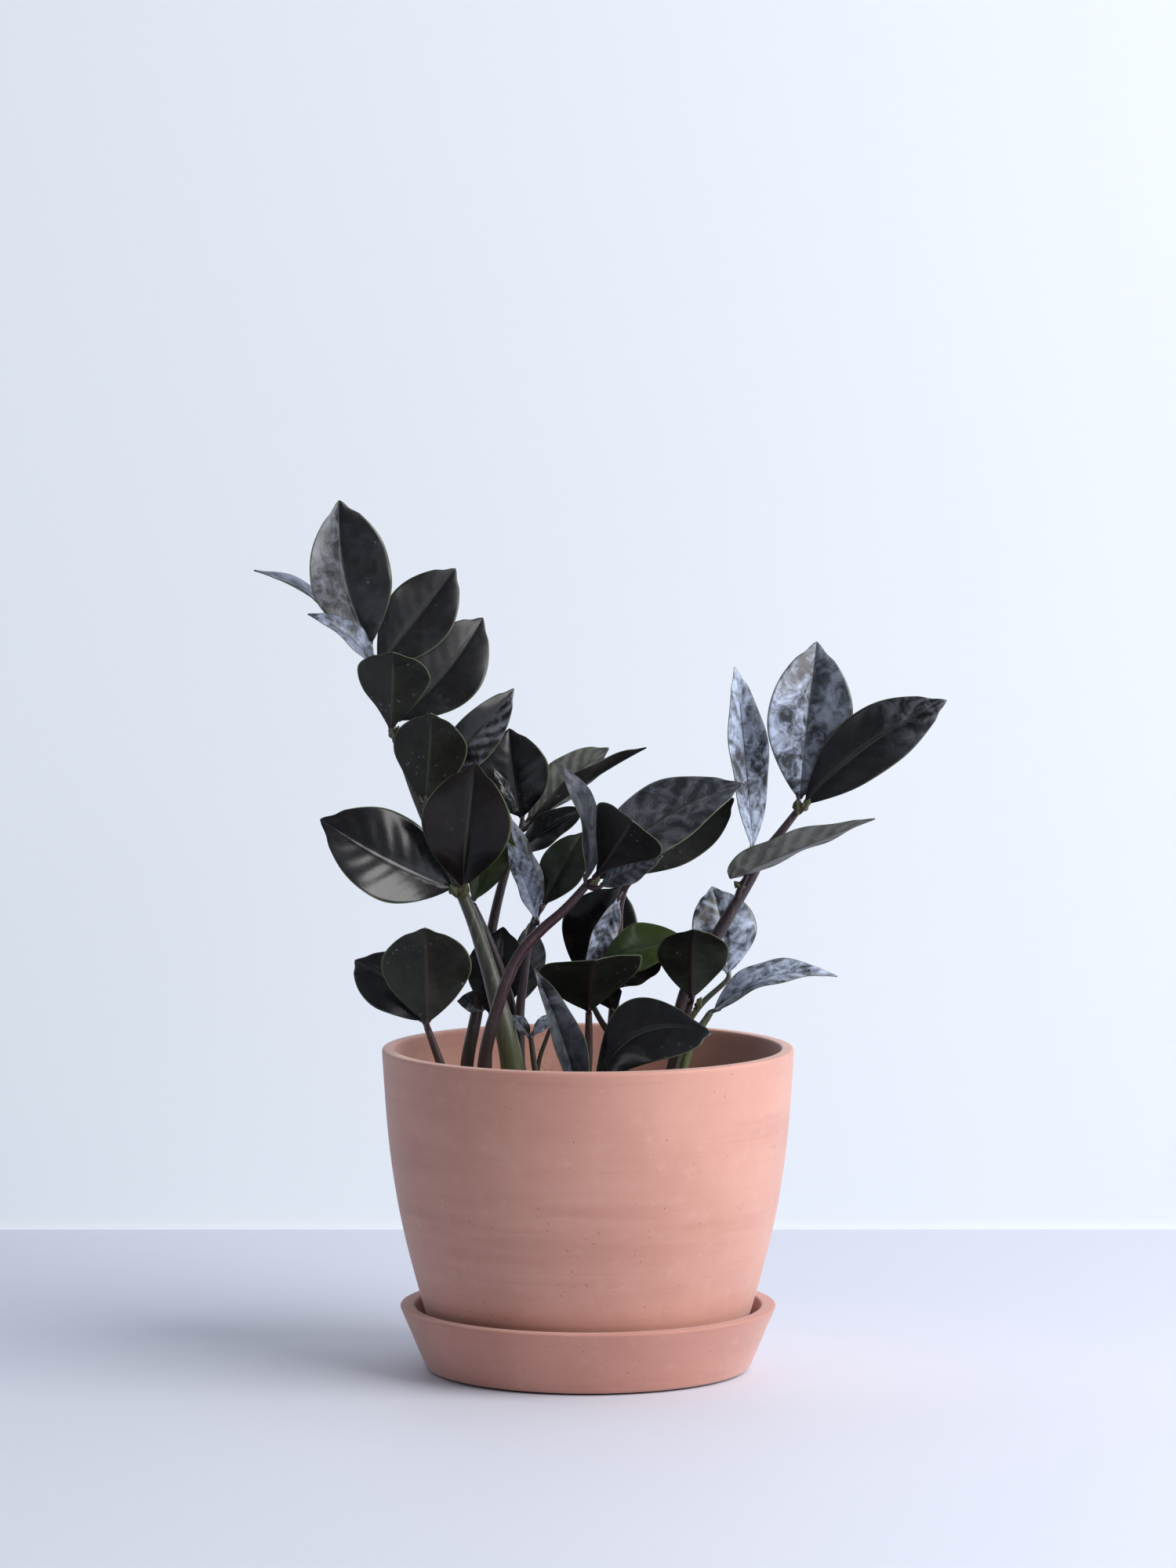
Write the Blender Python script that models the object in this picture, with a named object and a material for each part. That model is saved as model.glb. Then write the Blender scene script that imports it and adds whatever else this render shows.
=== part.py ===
"""A potted zz plant: pot, saucer, potting soil, fourteen stems and forty-three leaflets.

Metres, +Z up. The plant is seen from the front along +Y, with +X to the right. The origin
is the middle of the saucer's flat underside. Sizes and places in the tables are millimetres
and are scaled by MM as each piece is made.
"""
import math

import bmesh
import bpy
from mathutils import Vector

MM = 0.001
GAP = 0.3

# Driving dimensions of the pottery
POT_HEIGHT = 119.7
POT_RIM_RADIUS = 80.0
POT_WALL = 5.2
POT_FLOOR = 6.0
DRAIN_RADIUS = 6.0
SAUCER_HEIGHT = 24.8
SAUCER_RIM_RADIUS = 73.5
SAUCER_FOOT_RADIUS = 63.6
SAUCER_RIM_WALL = 6.2
SAUCER_FLOOR = 5.0
SOIL_TOP = 100.0
SOIL_DOME = 1.6
TURN_STEPS = 44

# How deep a stem's foot stands in the soil, and the room around it there
FOOT_DEPTH = 8.0
POCKET_ROOM = 0.5

# The leaflets' blades
BLADE_THICKNESS = 0.9
STALK_WIDTH = 2.4
TIP_WIDTH = 0.9
STATIONS_ALONG = 7
STATIONS_ACROSS = 4

POT_FOOT = SAUCER_FLOOR + GAP
POT_RIM = POT_FOOT + POT_HEIGHT
POT_FLOOR_TOP = POT_FOOT + POT_FLOOR

# (radius, depth below the rim) down the pot's outer side
POT_OUTER = [
    (80.0, 1.2), (79.2, 13.5), (78.0, 32.0), (75.8, 50.0), (72.5, 69.0),
    (67.9, 87.0), (64.0, 101.0), (61.2, 109.5), (58.6, 115.5), (56.0, 118.7),
]


def material(name, colour, roughness, metallic=0.0):
    made = bpy.data.materials.new(name)
    made.use_nodes = True
    shader = made.node_tree.nodes["Principled BSDF"]
    shader.inputs["Base Color"].default_value = (*colour, 1.0)
    shader.inputs["Roughness"].default_value = roughness
    shader.inputs["Metallic"].default_value = metallic
    return made


def add_object(name, data, finish):
    piece = bpy.data.objects.new(name, data)
    data.materials.append(finish)
    bpy.context.scene.collection.objects.link(piece)
    return piece


def turned(name, profile, finish):
    """A solid of revolution from (radius, height) points that run down the outer side."""
    form = bmesh.new()
    points = [form.verts.new((r * MM, 0.0, z * MM)) for r, z in profile]
    for start, end in zip(points, points[1:]):
        form.edges.new((start, end))
    form.edges.new((points[-1], points[0]))
    mesh = bpy.data.meshes.new(name)
    form.to_mesh(mesh)
    form.free()
    piece = add_object(name, mesh, finish)
    screw = piece.modifiers.new("turn", "SCREW")
    screw.axis = "Z"
    screw.angle = math.tau
    screw.steps = TURN_STEPS
    screw.render_steps = TURN_STEPS
    screw.use_merge_vertices = True
    screw.merge_threshold = 0.00001
    screw.use_smooth_shade = True
    return piece


def inner_radius(height):
    """The pot's inside radius at a height, a wall's thickness in from the outer side."""
    depth = POT_RIM - height
    for (r0, d0), (r1, d1) in zip(POT_OUTER, POT_OUTER[1:]):
        if depth <= d1:
            share = max(0.0, (depth - d0) / (d1 - d0))
            return r0 + (r1 - r0) * share - POT_WALL
    return POT_OUTER[-1][0] - POT_WALL


# ---------------------------------------------------------------- pot, saucer and soil
def make_saucer():
    inside_top = SAUCER_RIM_RADIUS - SAUCER_RIM_WALL
    inside_foot = 61.0
    profile = [
        (inside_top + 0.8, SAUCER_HEIGHT),
        (SAUCER_RIM_RADIUS - 0.8, SAUCER_HEIGHT),
        (SAUCER_RIM_RADIUS, SAUCER_HEIGHT - 0.9),
        (SAUCER_FOOT_RADIUS + 0.9, 2.2),
        (SAUCER_FOOT_RADIUS - 1.0, 0.0),
        (0.0, 0.0),
        (0.0, SAUCER_FLOOR),
        (inside_foot - 2.0, SAUCER_FLOOR),
        (inside_foot, SAUCER_FLOOR + 1.4),
        (inside_top, SAUCER_HEIGHT - 0.8),
    ]
    clay = material("saucer_clay", (0.47, 0.22, 0.17), 0.75)
    return turned("saucer", profile, clay)


def make_pot():
    inside = [(inner_radius(POT_RIM - d), POT_RIM - d) for d in (101.0, 87.0, 69.0, 50.0, 32.0, 13.5)]
    floor_edge = inner_radius(POT_FLOOR_TOP) - 1.0
    profile = [(POT_RIM_RADIUS - POT_WALL + 1.0, POT_RIM), (POT_RIM_RADIUS - 1.0, POT_RIM)]
    profile += [(r, POT_RIM - d) for r, d in POT_OUTER]
    profile += [(54.4, POT_FOOT), (DRAIN_RADIUS, POT_FOOT), (DRAIN_RADIUS, POT_FLOOR_TOP)]
    profile += [(floor_edge - 3.0, POT_FLOOR_TOP), (floor_edge, POT_FLOOR_TOP + 2.4)]
    profile += inside
    profile += [(POT_RIM_RADIUS - POT_WALL, POT_RIM - 1.0)]
    clay = material("pot_clay", (0.50, 0.25, 0.20), 0.7)
    return turned("pot", profile, clay)


def make_soil(feet):
    """The potting mix, a plug that fills the pot, with a pocket for each stem's foot."""
    floor_edge = inner_radius(POT_FLOOR_TOP) - 1.0 - GAP
    profile = [(0.0, SOIL_TOP + SOIL_DOME), (38.0, SOIL_TOP + 0.8 * SOIL_DOME)]
    profile += [(inner_radius(SOIL_TOP) - 2.0 - GAP, SOIL_TOP), (inner_radius(98.0) - GAP, 98.0)]
    profile += [(inner_radius(POT_RIM - d) - GAP - 0.1, POT_RIM - d) for d in (50.0, 69.0, 87.0, 101.0)]
    profile += [(floor_edge - 0.4, POT_FLOOR_TOP + 2.8), (floor_edge - 3.4, POT_FLOOR_TOP + GAP)]
    profile += [(0.0, POT_FLOOR_TOP + GAP)]
    mix = material("potting_mix", (0.035, 0.024, 0.018), 0.95)
    soil = turned("soil", profile, mix)
    for number, (x, y, radius) in enumerate(feet):
        bore = bmesh.new()
        bmesh.ops.create_cone(
            bore, cap_ends=True, segments=10, depth=2.0 * FOOT_DEPTH * MM,
            radius1=(radius + POCKET_ROOM) * MM, radius2=(radius + 1.6 * POCKET_ROOM) * MM,
        )
        mesh = bpy.data.meshes.new("pocket_cutter")
        bore.to_mesh(mesh)
        bore.free()
        cutter = bpy.data.objects.new(f"pocket_cutter_{number}", mesh)
        bpy.context.scene.collection.objects.link(cutter)
        cutter.location = (x * MM, y * MM, (SOIL_TOP - GAP) * MM)
        cutter.hide_render = True
        cutter.display_type = "WIRE"
        cut = soil.modifiers.new(f"pocket_{number}", "BOOLEAN")
        cut.operation = "DIFFERENCE"
        cut.object = cutter
    return soil


# ---------------------------------------------------------------- stems and leaflets
def make_stem(name, points, finish):
    """A tapering stem through hand-placed points (x, y, z, radius), with closed ends."""
    curve = bpy.data.curves.new(name, "CURVE")
    curve.dimensions = "3D"
    curve.bevel_depth = MM
    curve.bevel_resolution = 2
    curve.resolution_u = 2
    curve.use_fill_caps = True
    spline = curve.splines.new("BEZIER")
    spline.bezier_points.add(len(points) - 1)
    for knot, (x, y, z, radius) in zip(spline.bezier_points, points):
        knot.co = (x * MM, y * MM, z * MM)
        knot.handle_left_type = "AUTO"
        knot.handle_right_type = "AUTO"
        knot.radius = radius
    return add_object(name, curve, finish)


def blade_half_width(t, width, widest):
    """Half the blade's width at t from its base (0) to its tip (1)."""
    power = math.log(0.5) / math.log(widest)
    full = 0.5 * width * math.sin(math.pi * t ** power) ** 0.78
    stalk = 0.5 * STALK_WIDTH * (1.0 - t)
    return max(full, stalk, 0.5 * TIP_WIDTH)


def make_leaflet(name, base, tip, width, face, finish, arch=4.0, bow=0.0, fold=12.0, clear=2.0, widest=0.52):
    """One leaflet from its joint on a stem (base) to its point (tip), in millimetres.

    face is the rough direction of its upper side. arch is how far its middle rises towards
    that side, and bow how far it swings sideways. fold is the angle in degrees that each half
    is lifted, and clear the length at the joint that is left off to stand clear of the stem.
    """
    root = Vector(base)
    along = (Vector(tip) - root).normalized()
    root += along * clear
    length = (Vector(tip) - root).length
    up = Vector(face)
    up = (up - along * up.dot(along)).normalized()
    side = along.cross(up)
    lift = math.sin(math.radians(fold))
    spread = math.cos(math.radians(fold))
    blade = bmesh.new()
    bmesh.ops.create_grid(blade, x_segments=STATIONS_ALONG, y_segments=STATIONS_ACROSS, size=0.5)
    for point in blade.verts:
        t = point.co.x + 0.5
        middle = 4.0 * t * (1.0 - t)
        half = blade_half_width(t, width, widest) * 2.0 * point.co.y
        place = root + along * (length * t)
        place += side * (half * spread + bow * middle)
        place += up * (abs(half) * lift + arch * middle)
        point.co = place * MM
    mesh = bpy.data.meshes.new(name)
    blade.to_mesh(mesh)
    blade.free()
    leaflet = add_object(name, mesh, finish)
    skin = leaflet.modifiers.new("thickness", "SOLIDIFY")
    skin.thickness = BLADE_THICKNESS * MM
    skin.offset = 0.0
    return leaflet


# Each branch: its stem's points (x, y, z, radius), then its leaflets. A leaflet's entry is
# base, tip, width and face, then what it needs of arch, bow, fold, clear and widest.
BRANCHES = {
    "left_tall": {
        "stem": [
            (-28.5, -8, 92, 4.4), (-28.5, -8, 101, 4.4), (-29.3, -8, 118, 4.5), (-31.4, -8, 130, 4.2),
            (-34.8, -7, 143, 3.6), (-38.9, -6, 158, 3.1), (-46, -5, 179, 2.6), (-56.4, -3, 201, 2.1),
            (-63.6, -2, 216, 1.9), (-71.9, 0, 238, 1.6), (-78.5, 0, 258, 1.4), (-83, 0, 272, 1.2),
            (-83.8, 0, 279, 1.0),
        ],
        "leaflets": [
            ((-84, 0, 280.5), (-95.7, -4, 336.8), 37, (0.5, -1, 0.1), dict(arch=1, bow=-5, fold=20, clear=0.5)),
            ((-82, 1.6, 271), (-51.3, 10, 310), 27, (0.1, -1, 0.1), dict(arch=1, fold=8)),
            ((-76, 2, 249), (-40.8, 15, 290.6), 29, (0.0, -1, 0.1), dict(arch=2, bow=2.5, fold=8, clear=3.6)),
            ((-67, 0, 222), (-28.7, 6, 263.7), 18, (0.2, -1, 0.2), dict(bow=1.5, fold=14, clear=4)),
            ((-84, 1, 278), (-129, 6, 309.5), 20, (0.1, -0.1, 1), dict(arch=5, fold=10, clear=3)),
            ((-79.5, -2, 262), (-107, -22, 294), 16, (0.75, -0.45, 0.65), dict(arch=7, fold=12)),
            ((-76, -4, 246), (-74, -33, 280), 29, (0.1, 1, 0.4), dict(arch=1, fold=12, widest=0.64)),
            ((-63, -3, 219), (-60, -22, 256), 29, (0.1, 1, 0.3), dict(fold=10)),
            ((-48.6, -8, 186), (-43, -22, 237), 36, (-0.1, -1, 0.2), dict(fold=14, widest=0.57)),
            ((-50, -6, 186), (-102.7, -18, 215), 37, (0.1, -1, 0.5), dict(bow=-3.5, fold=12, clear=3)),
        ],
    },
    "left_second": {
        "stem": [
            (-28.4, 8, 92, 2.2), (-28.4, 8, 101, 2.2), (-28.4, 8, 117, 2.2), (-29.2, 7, 135, 2.1),
            (-32.6, 5, 150, 2.0), (-40.2, 2, 170, 1.8), (-44.6, 1, 180, 1.5),
        ],
        "leaflets": [
            ((-45.3, 1, 180), (-31, 8, 217), 17, (0.2, -1, 0.2), dict(arch=2, fold=10)),
        ],
    },
    "mid_left": {
        "stem": [
            (-22, -2, 92, 2.0), (-22, -2, 101, 2.0), (-26, 0, 117, 1.9), (-26.3, 1, 129, 1.8),
            (-26.3, 2, 140, 1.8), (-25, 2, 151, 1.7), (-22, 2, 170, 1.5), (-19.6, 2, 177, 1.3),
        ],
        "leaflets": [
            ((-19.4, -1, 173), (-31.4, -14, 206), 12, (0.5, -1, 0.5), dict(arch=2, fold=18, clear=2)),
            ((-18.4, 0, 179), (-31.4, -1, 216), 11, (0.9, -0.7, 0.2), dict(arch=1, fold=14, clear=1.5, widest=0.32)),
            ((-18.2, 4.5, 178), (-2, 9.5, 207.5), 18, (-0.1, -1, 0.3), dict(arch=2, fold=8, clear=2.5)),
        ],
    },
    "back": {
        "stem": [
            (-48, 12, 92, 2.8), (-48, 12, 101, 2.8), (-47.1, 12, 117, 2.6), (-43.5, 15, 136, 2.4),
            (-37.7, 20, 168, 2.0), (-34.4, 22, 183, 1.8), (-30.2, 25, 197, 1.6), (-25.9, 27, 208, 1.3),
        ],
        "leaflets": [
            ((-30, 21, 196.5), (-1, 11, 216.5), 15, (-0.3, -1, 0.8), dict(arch=2, fold=8)),
            ((-25, 29, 209), (8.2, 36, 238.5), 20, (0.1, 1, 0.9), dict(arch=3, fold=10)),
            ((-25.5, 25, 207), (22.7, 18, 240), 15, (-0.1, 0.4, 1), dict(arch=2, fold=20)),
            ((-25.6, 28, 210), (-30.8, 24, 247), 29, (0.1, -1, 0.1), dict(arch=3, bow=-1.5, fold=10, clear=2)),
        ],
    },
    "centre": {
        "stem": [
            (-41, -24, 92, 2.6), (-41, -24, 101, 2.6), (-39.9, -24, 121, 2.6), (-38, -24, 132, 2.5),
            (-35.3, -23, 141, 2.4), (-31.7, -22, 152, 2.3), (-26.3, -20, 163, 2.2), (-19.3, -18, 171, 2.1),
            (-9.1, -16, 180, 1.8), (0, -15, 190, 1.5),
        ],
        "leaflets": [
            ((-0.5, -16, 189.5), (-12.7, -26, 238), 24, (0.9, -0.35, 0.1), dict(arch=6.5, fold=10, widest=0.34)),
            ((1.5, -17, 191), (17, -50, 217), 32, (0.7, 0.5, 0.8), dict(arch=2, fold=16, widest=0.7)),
            ((2, -12, 191), (59.8, -8, 228), 32, (-0.2, -1, 0.9), dict(arch=4, bow=-4, fold=8, widest=0.45)),
            ((2, -19, 188), (28.5, -29.5, 202), 13, (0.0, -1, 0.7), dict(arch=1, fold=10, clear=3.5)),
        ],
    },
    "centre_right": {
        "stem": [
            (8, 16, 92, 2.2), (8, 16, 101, 2.2), (8.5, 16, 117, 2.1), (10, 16, 137, 2.0),
            (12, 15, 160, 1.8), (13.6, 14, 184, 1.6), (17.5, 12, 190, 1.4),
        ],
        "leaflets": [
            ((17, 11, 190), (56.5, 6, 221), 26, (0.3, 1, 0.4), dict(arch=3, bow=2, fold=8)),
            ((-5, 26, 150), (13.2, 24, 185), 31, (0.1, -1, 0.2), dict(arch=3, fold=10)),
            ((13, 13, 184), (-1, 2, 155), 11, (0.3, -1, 0.0), dict(arch=2, fold=22, clear=3.2)),
            ((8, 6, 146.3), (29, 4, 157), 14, (0.1, 1, 0.6), dict(fold=8)),
        ],
    },
    "front": {
        "stem": [
            (-2, -8, 92, 1.9), (-2, -8, 101, 1.9), (0, -8, 120, 1.7), (0.3, -8, 132, 1.5),
            (0.3, -9, 139, 1.3),
        ],
        "leaflets": [
            ((0.3, -9, 139), (3, -48, 164), 42, (-0.18, 0.5, 1), dict(fold=10)),
            ((11, 6, 137), (4, -6, 146), 13, (0.0, 0.8, 1), dict(fold=8)),
        ],
    },
    "front_low": {
        "stem": [(-1, -38, 92, 2.4), (-1, -38, 101, 2.4), (-1, -38, 106, 2.0)],
        "leaflets": [
            ((-3, -41, 107), (-20.5, -50, 161), 16, (0.5, -1, 0.3), dict(fold=34, widest=0.4)),
            ((0, -39, 107), (47.1, -40, 135.5), 28, (-0.1, -1, 0.4), dict(bow=-13, fold=10, widest=0.64)),
        ],
    },
    "left_low": {
        "stem": [
            (-52, -22, 92, 1.9), (-52, -22, 101, 1.9), (-56.5, -25, 121, 1.7), (-59.2, -26, 129, 1.5),
            (-61.3, -27, 135, 1.3),
        ],
        "leaflets": [
            ((-61.5, -28, 136), (-61.9, -46, 176), 35, (0.0, 1, 0.4), dict(fold=8)),
            ((-62, -26, 137), (-89.7, -12, 160), 24, (0.1, -1, 0.3), dict(bow=2, fold=8)),
        ],
    },
    "left_back": {
        "stem": [
            (-39, 12, 92, 1.8), (-39, 12, 101, 1.8), (-39, 11, 118, 1.6), (-38, 11, 134, 1.3),
        ],
        "leaflets": [
            ((-38, 12, 134), (-33, 16, 170), 24, (0.0, -1, 0.1), dict(arch=2, fold=6)),
            ((-27, 24, 137), (-23, 30, 170), 14, (0.4, -1, 0.3), dict(fold=10)),
        ],
    },
    "thin": {
        "stem": [
            (-16, -14, 92, 1.4), (-16, -14, 101, 1.4), (-20.2, -14, 117, 1.2), (-22, -14, 130, 1.0),
        ],
        "leaflets": [
            ((-22.5, -14, 130), (-14.4, -12, 139), 5, (0.3, -1, 0.4), dict(arch=1, fold=8)),
        ],
    },
    "right_tall": {
        "stem": [
            (33, 5, 92, 2.8), (33, 5, 101, 2.8), (33.8, 5, 120, 2.7), (37.7, 5, 145, 2.6),
            (42.8, 5, 155, 2.6), (49, 5, 166, 2.5), (62.8, 5, 189.5, 2.1), (68.6, 5, 200, 1.8),
            (75.5, 5, 209, 1.6), (82.4, 5, 218, 1.3),
        ],
        "leaflets": [
            ((64, 8, 199.5), (56.8, 8, 272), 22, (0.9, -0.9, 0.1), dict(arch=1, fold=12)),
            ((81.6, 6, 219), (88.5, 10, 281.7), 35, (0.2, -1, 0.1), dict(bow=-1, fold=14)),
            ((82.4, 4, 218), (138, -6, 260), 27, (-0.3, -1, 0.3), dict(bow=-2.6, fold=10)),
            ((54.5, -4.5, 190.8), (109.6, -27, 216), 24, (0.2, 0.3, 1), dict(arch=1, fold=14, clear=0.5, widest=0.32)),
        ],
    },
    "right_low": {
        "stem": [
            (36, -12, 92, 2.0), (36, -12, 101, 2.0), (37, -12, 118, 1.8), (42, -10, 131, 1.6),
            (47, -9, 139, 1.3),
        ],
        "leaflets": [
            ((47, -9, 139.5), (96, -14, 154), 20, (0.1, -0.45, 1), dict(arch=8, fold=12, widest=0.38)),
            ((55, 15, 150), (48.3, 19, 185.5), 27, (0.3, -1, 0.2), dict(fold=8)),
        ],
    },
    "right_back": {
        "stem": [
            (28, -6, 92, 1.9), (28, -6, 101, 1.9), (32, -8, 118, 1.7), (38, -10, 138, 1.5),
            (40.5, -10, 149, 1.3), (41.4, -9.4, 159, 1.1), (41, -9, 167, 1.0),
        ],
        "leaflets": [
            ((40, -12.4, 144), (40.5, -32, 174), 28, (0.0, 1, 0.5), dict(fold=8)),
            ((40, -9, 168), (5.4, -2, 158), 20, (0.0, -1, 0.6), dict(fold=8)),
        ],
    },
}


def clear_scene():
    for piece in list(bpy.data.objects):
        bpy.data.objects.remove(piece, do_unlink=True)


def build():
    clear_scene()
    bark = material("stem_skin", (0.045, 0.030, 0.035), 0.45)
    leaf = material("leaf_skin", (0.020, 0.022, 0.030), 0.30)
    make_saucer()
    make_pot()
    feet = []
    for branch, parts in BRANCHES.items():
        make_stem(f"{branch}_stem", parts["stem"], bark)
        x, y, _, radius = parts["stem"][0]
        feet.append((x, y, radius))
        for number, (base, tip, width, face, extra) in enumerate(parts["leaflets"], 1):
            make_leaflet(f"{branch}_leaflet_{number}", base, tip, width, face, leaf, **extra)
    make_soil(feet)


build()
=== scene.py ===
import math
import random

import bmesh
import bpy
from mathutils import Matrix, Vector, geometry, noise


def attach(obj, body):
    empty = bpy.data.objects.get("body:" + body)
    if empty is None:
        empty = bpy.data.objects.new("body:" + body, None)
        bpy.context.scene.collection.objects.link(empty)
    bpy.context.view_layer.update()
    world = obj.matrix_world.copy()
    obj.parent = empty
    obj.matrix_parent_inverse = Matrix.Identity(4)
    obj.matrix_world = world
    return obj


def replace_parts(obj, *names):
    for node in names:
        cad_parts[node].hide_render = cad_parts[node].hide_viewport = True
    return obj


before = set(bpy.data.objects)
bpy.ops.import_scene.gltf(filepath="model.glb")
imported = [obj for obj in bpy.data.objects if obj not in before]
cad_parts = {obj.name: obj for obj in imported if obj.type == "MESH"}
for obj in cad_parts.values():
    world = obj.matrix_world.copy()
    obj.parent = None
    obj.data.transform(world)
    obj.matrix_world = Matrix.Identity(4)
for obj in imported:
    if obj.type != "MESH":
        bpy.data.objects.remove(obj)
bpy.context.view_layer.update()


# ---------- viewpoint
# A long lens, a little above the plant and 2.3 m in front of it, looking slightly down. It is
# held level from side to side, and nothing is out of focus.
LENS_LENGTH = 137.09
LENS_PITCH = 4.52
LENS_PLACE = (0.0, -2.3, 0.409)

lens = bpy.data.cameras.new("viewpoint")
lens.lens = LENS_LENGTH
lens.sensor_width = 36.0
lens.clip_start = 0.1
viewpoint = bpy.data.objects.new("viewpoint", lens)
viewpoint.location = LENS_PLACE
viewpoint.rotation_euler = (math.radians(90.0 - LENS_PITCH), 0.0, 0.0)
bpy.context.scene.collection.objects.link(viewpoint)
bpy.context.scene.camera = viewpoint
bpy.context.scene.view_settings.view_transform = "Standard"


# ---------- room
# A pale lilac table that turns up into a smooth pale-blue wall behind the plant. It is only
# there to stand the plant on and to light it, so it is staged and not part of the object.
WALL_Y = 0.352
WALL_TOP = 2.4
COVE_RADIUS = 0.004
COVE_FOOT = -0.0004
TABLE_EDGES = (-1.4, 3.0)
TABLE_LEVEL = -0.0005
SHEET_WIDTH = 4.0
GLOW_COLOUR = (0.74, 0.88, 1.0, 1.0)


def finish_material(name, coat=0.0):
    """A new material, with its node tree and its Principled shader."""
    made = bpy.data.materials.new(name)
    made.use_nodes = True
    shader = made.node_tree.nodes["Principled BSDF"]
    shader.inputs["Coat Weight"].default_value = coat
    return made, made.node_tree, shader


def place_node(tree, kind, settings=None, **inputs):
    """Adds a node, sets its options, and fills or links its inputs, by name or as _0, _1, _2."""
    made = tree.nodes.new(kind)
    for key, value in (settings or {}).items():
        setattr(made, key, value)
    for key, value in inputs.items():
        socket = made.inputs[int(key[1:])] if key[0] == "_" else made.inputs[key.replace("_", " ")]
        if isinstance(value, bpy.types.NodeSocket):
            tree.links.new(value, socket)
        else:
            socket.default_value = value
    return made


def maths(tree, operation, a, b=0.0, c=0.0, clamp=False):
    settings = {"operation": operation, "use_clamp": clamp}
    return place_node(tree, "ShaderNodeMath", settings, _0=a, _1=b, _2=c).outputs[0]


def blend_colour(tree, factor, a, b, mode="MIX"):
    settings = {"data_type": "RGBA", "blend_type": mode}
    return place_node(tree, "ShaderNodeMix", settings, _0=factor, _6=a, _7=b).outputs[2]


def cloud(tree, place, scale, detail=4.0, roughness=0.6, distortion=0.0):
    """Soft noise between 0 and 1."""
    made = place_node(tree, "ShaderNodeTexNoise", None, Vector=place, Scale=scale, Detail=detail,
                      Roughness=roughness, Distortion=distortion)
    return made.outputs[0]


def between(tree, value, low, high):
    """0 below low, 1 above high, and smooth between them."""
    settings = {"interpolation_type": "SMOOTHSTEP"}
    made = place_node(tree, "ShaderNodeMapRange", settings, Value=value)
    made.inputs["From Min"].default_value = low
    made.inputs["From Max"].default_value = high
    return made.outputs[0]


def make_piece(name, form, *paints, smooth=True):
    """An object at the origin from a finished bmesh, with its materials in order."""
    mesh = bpy.data.meshes.new(name)
    form.to_mesh(mesh)
    form.free()
    if smooth:
        mesh.shade_smooth()
    for paint in paints:
        mesh.materials.append(paint)
    piece = bpy.data.objects.new(name, mesh)
    bpy.context.scene.collection.objects.link(piece)
    return piece


def stage_sheet(name, points, colour, roughness, glow):
    """A wide sheet through (y, z) points, which glows a little and is clear from behind."""
    form = bmesh.new()
    line = [form.verts.new((-0.5 * SHEET_WIDTH, y, z)) for y, z in points]
    edges = [form.edges.new(pair) for pair in zip(line, line[1:])]
    grown = bmesh.ops.extrude_edge_only(form, edges=edges)["geom"]
    moved = [v for v in grown if isinstance(v, bmesh.types.BMVert)]
    bmesh.ops.translate(form, verts=moved, vec=(SHEET_WIDTH, 0.0, 0.0))
    form.normal_update()
    towards_room = Vector((0.0, -1.0, 1.0))
    if sum((patch.normal for patch in form.faces), Vector()).dot(towards_room) < 0.0:
        bmesh.ops.reverse_faces(form, faces=form.faces)
    paint, tree, shader = finish_material(name)
    spot = place_node(tree, "ShaderNodeTexCoord").outputs["Object"]
    patch = cloud(tree, spot, 3.0, 2.0)
    shade = blend_colour(tree, patch, (*[c * 0.97 for c in colour], 1.0), (*colour, 1.0))
    tree.links.new(shade, shader.inputs["Base Color"])
    shader.inputs["Roughness"].default_value = roughness
    shader.inputs["Specular IOR Level"].default_value = 0.2
    shader.inputs["Emission Color"].default_value = GLOW_COLOUR
    shader.inputs["Emission Strength"].default_value = glow
    clear = place_node(tree, "ShaderNodeBsdfTransparent")
    behind = place_node(tree, "ShaderNodeNewGeometry").outputs["Backfacing"]
    pick = place_node(tree, "ShaderNodeMixShader", None, _0=behind, _1=shader.outputs[0],
                      _2=clear.outputs[0])
    tree.links.new(pick.outputs[0], tree.nodes["Material Output"].inputs["Surface"])
    sheet = make_piece(name, form, paint)


stage_sheet("table_top", [(y, TABLE_LEVEL) for y in TABLE_EDGES],
            colour=(0.69, 0.72, 0.82), roughness=0.6, glow=0.0)
quarter_turn = [math.radians(90.0 * i / 8) for i in range(9)]
bend = [(WALL_Y - COVE_RADIUS + COVE_RADIUS * math.sin(a),
         COVE_RADIUS - COVE_RADIUS * math.cos(a) + COVE_FOOT) for a in quarter_turn]
stage_sheet("wall", [*bend, (WALL_Y, WALL_TOP)],
            colour=(0.53, 0.53, 0.56), roughness=0.8, glow=0.38)


def soft_light(name, place, aim, width, height, power, colour):
    """A rectangular lamp, in metres and watts, turned to face the point it is aimed at."""
    lamp = bpy.data.lights.new(name, "AREA")
    lamp.shape = "RECTANGLE"
    lamp.size = width
    lamp.size_y = height
    lamp.energy = power
    lamp.color = colour
    holder = bpy.data.objects.new(name, lamp)
    holder.location = place
    holder.rotation_euler = (Vector(aim) - Vector(place)).to_track_quat("-Z", "Y").to_euler()
    bpy.context.scene.collection.objects.link(holder)


# One broad window to the right, and a small weak one to the left that catches the leaves' edges.
soft_light("window_right", place=(1.5, -0.78, 1.12), aim=(0.0, 0.0, 0.12), width=1.8,
           height=1.35, power=54.0, colour=(1.0, 0.985, 0.975))
soft_light("window_left", place=(-1.3, -1.3, 1.0), aim=(-0.05, 0.0, 0.2), width=0.35,
           height=0.55, power=1.6, colour=(0.92, 0.95, 1.0))

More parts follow.
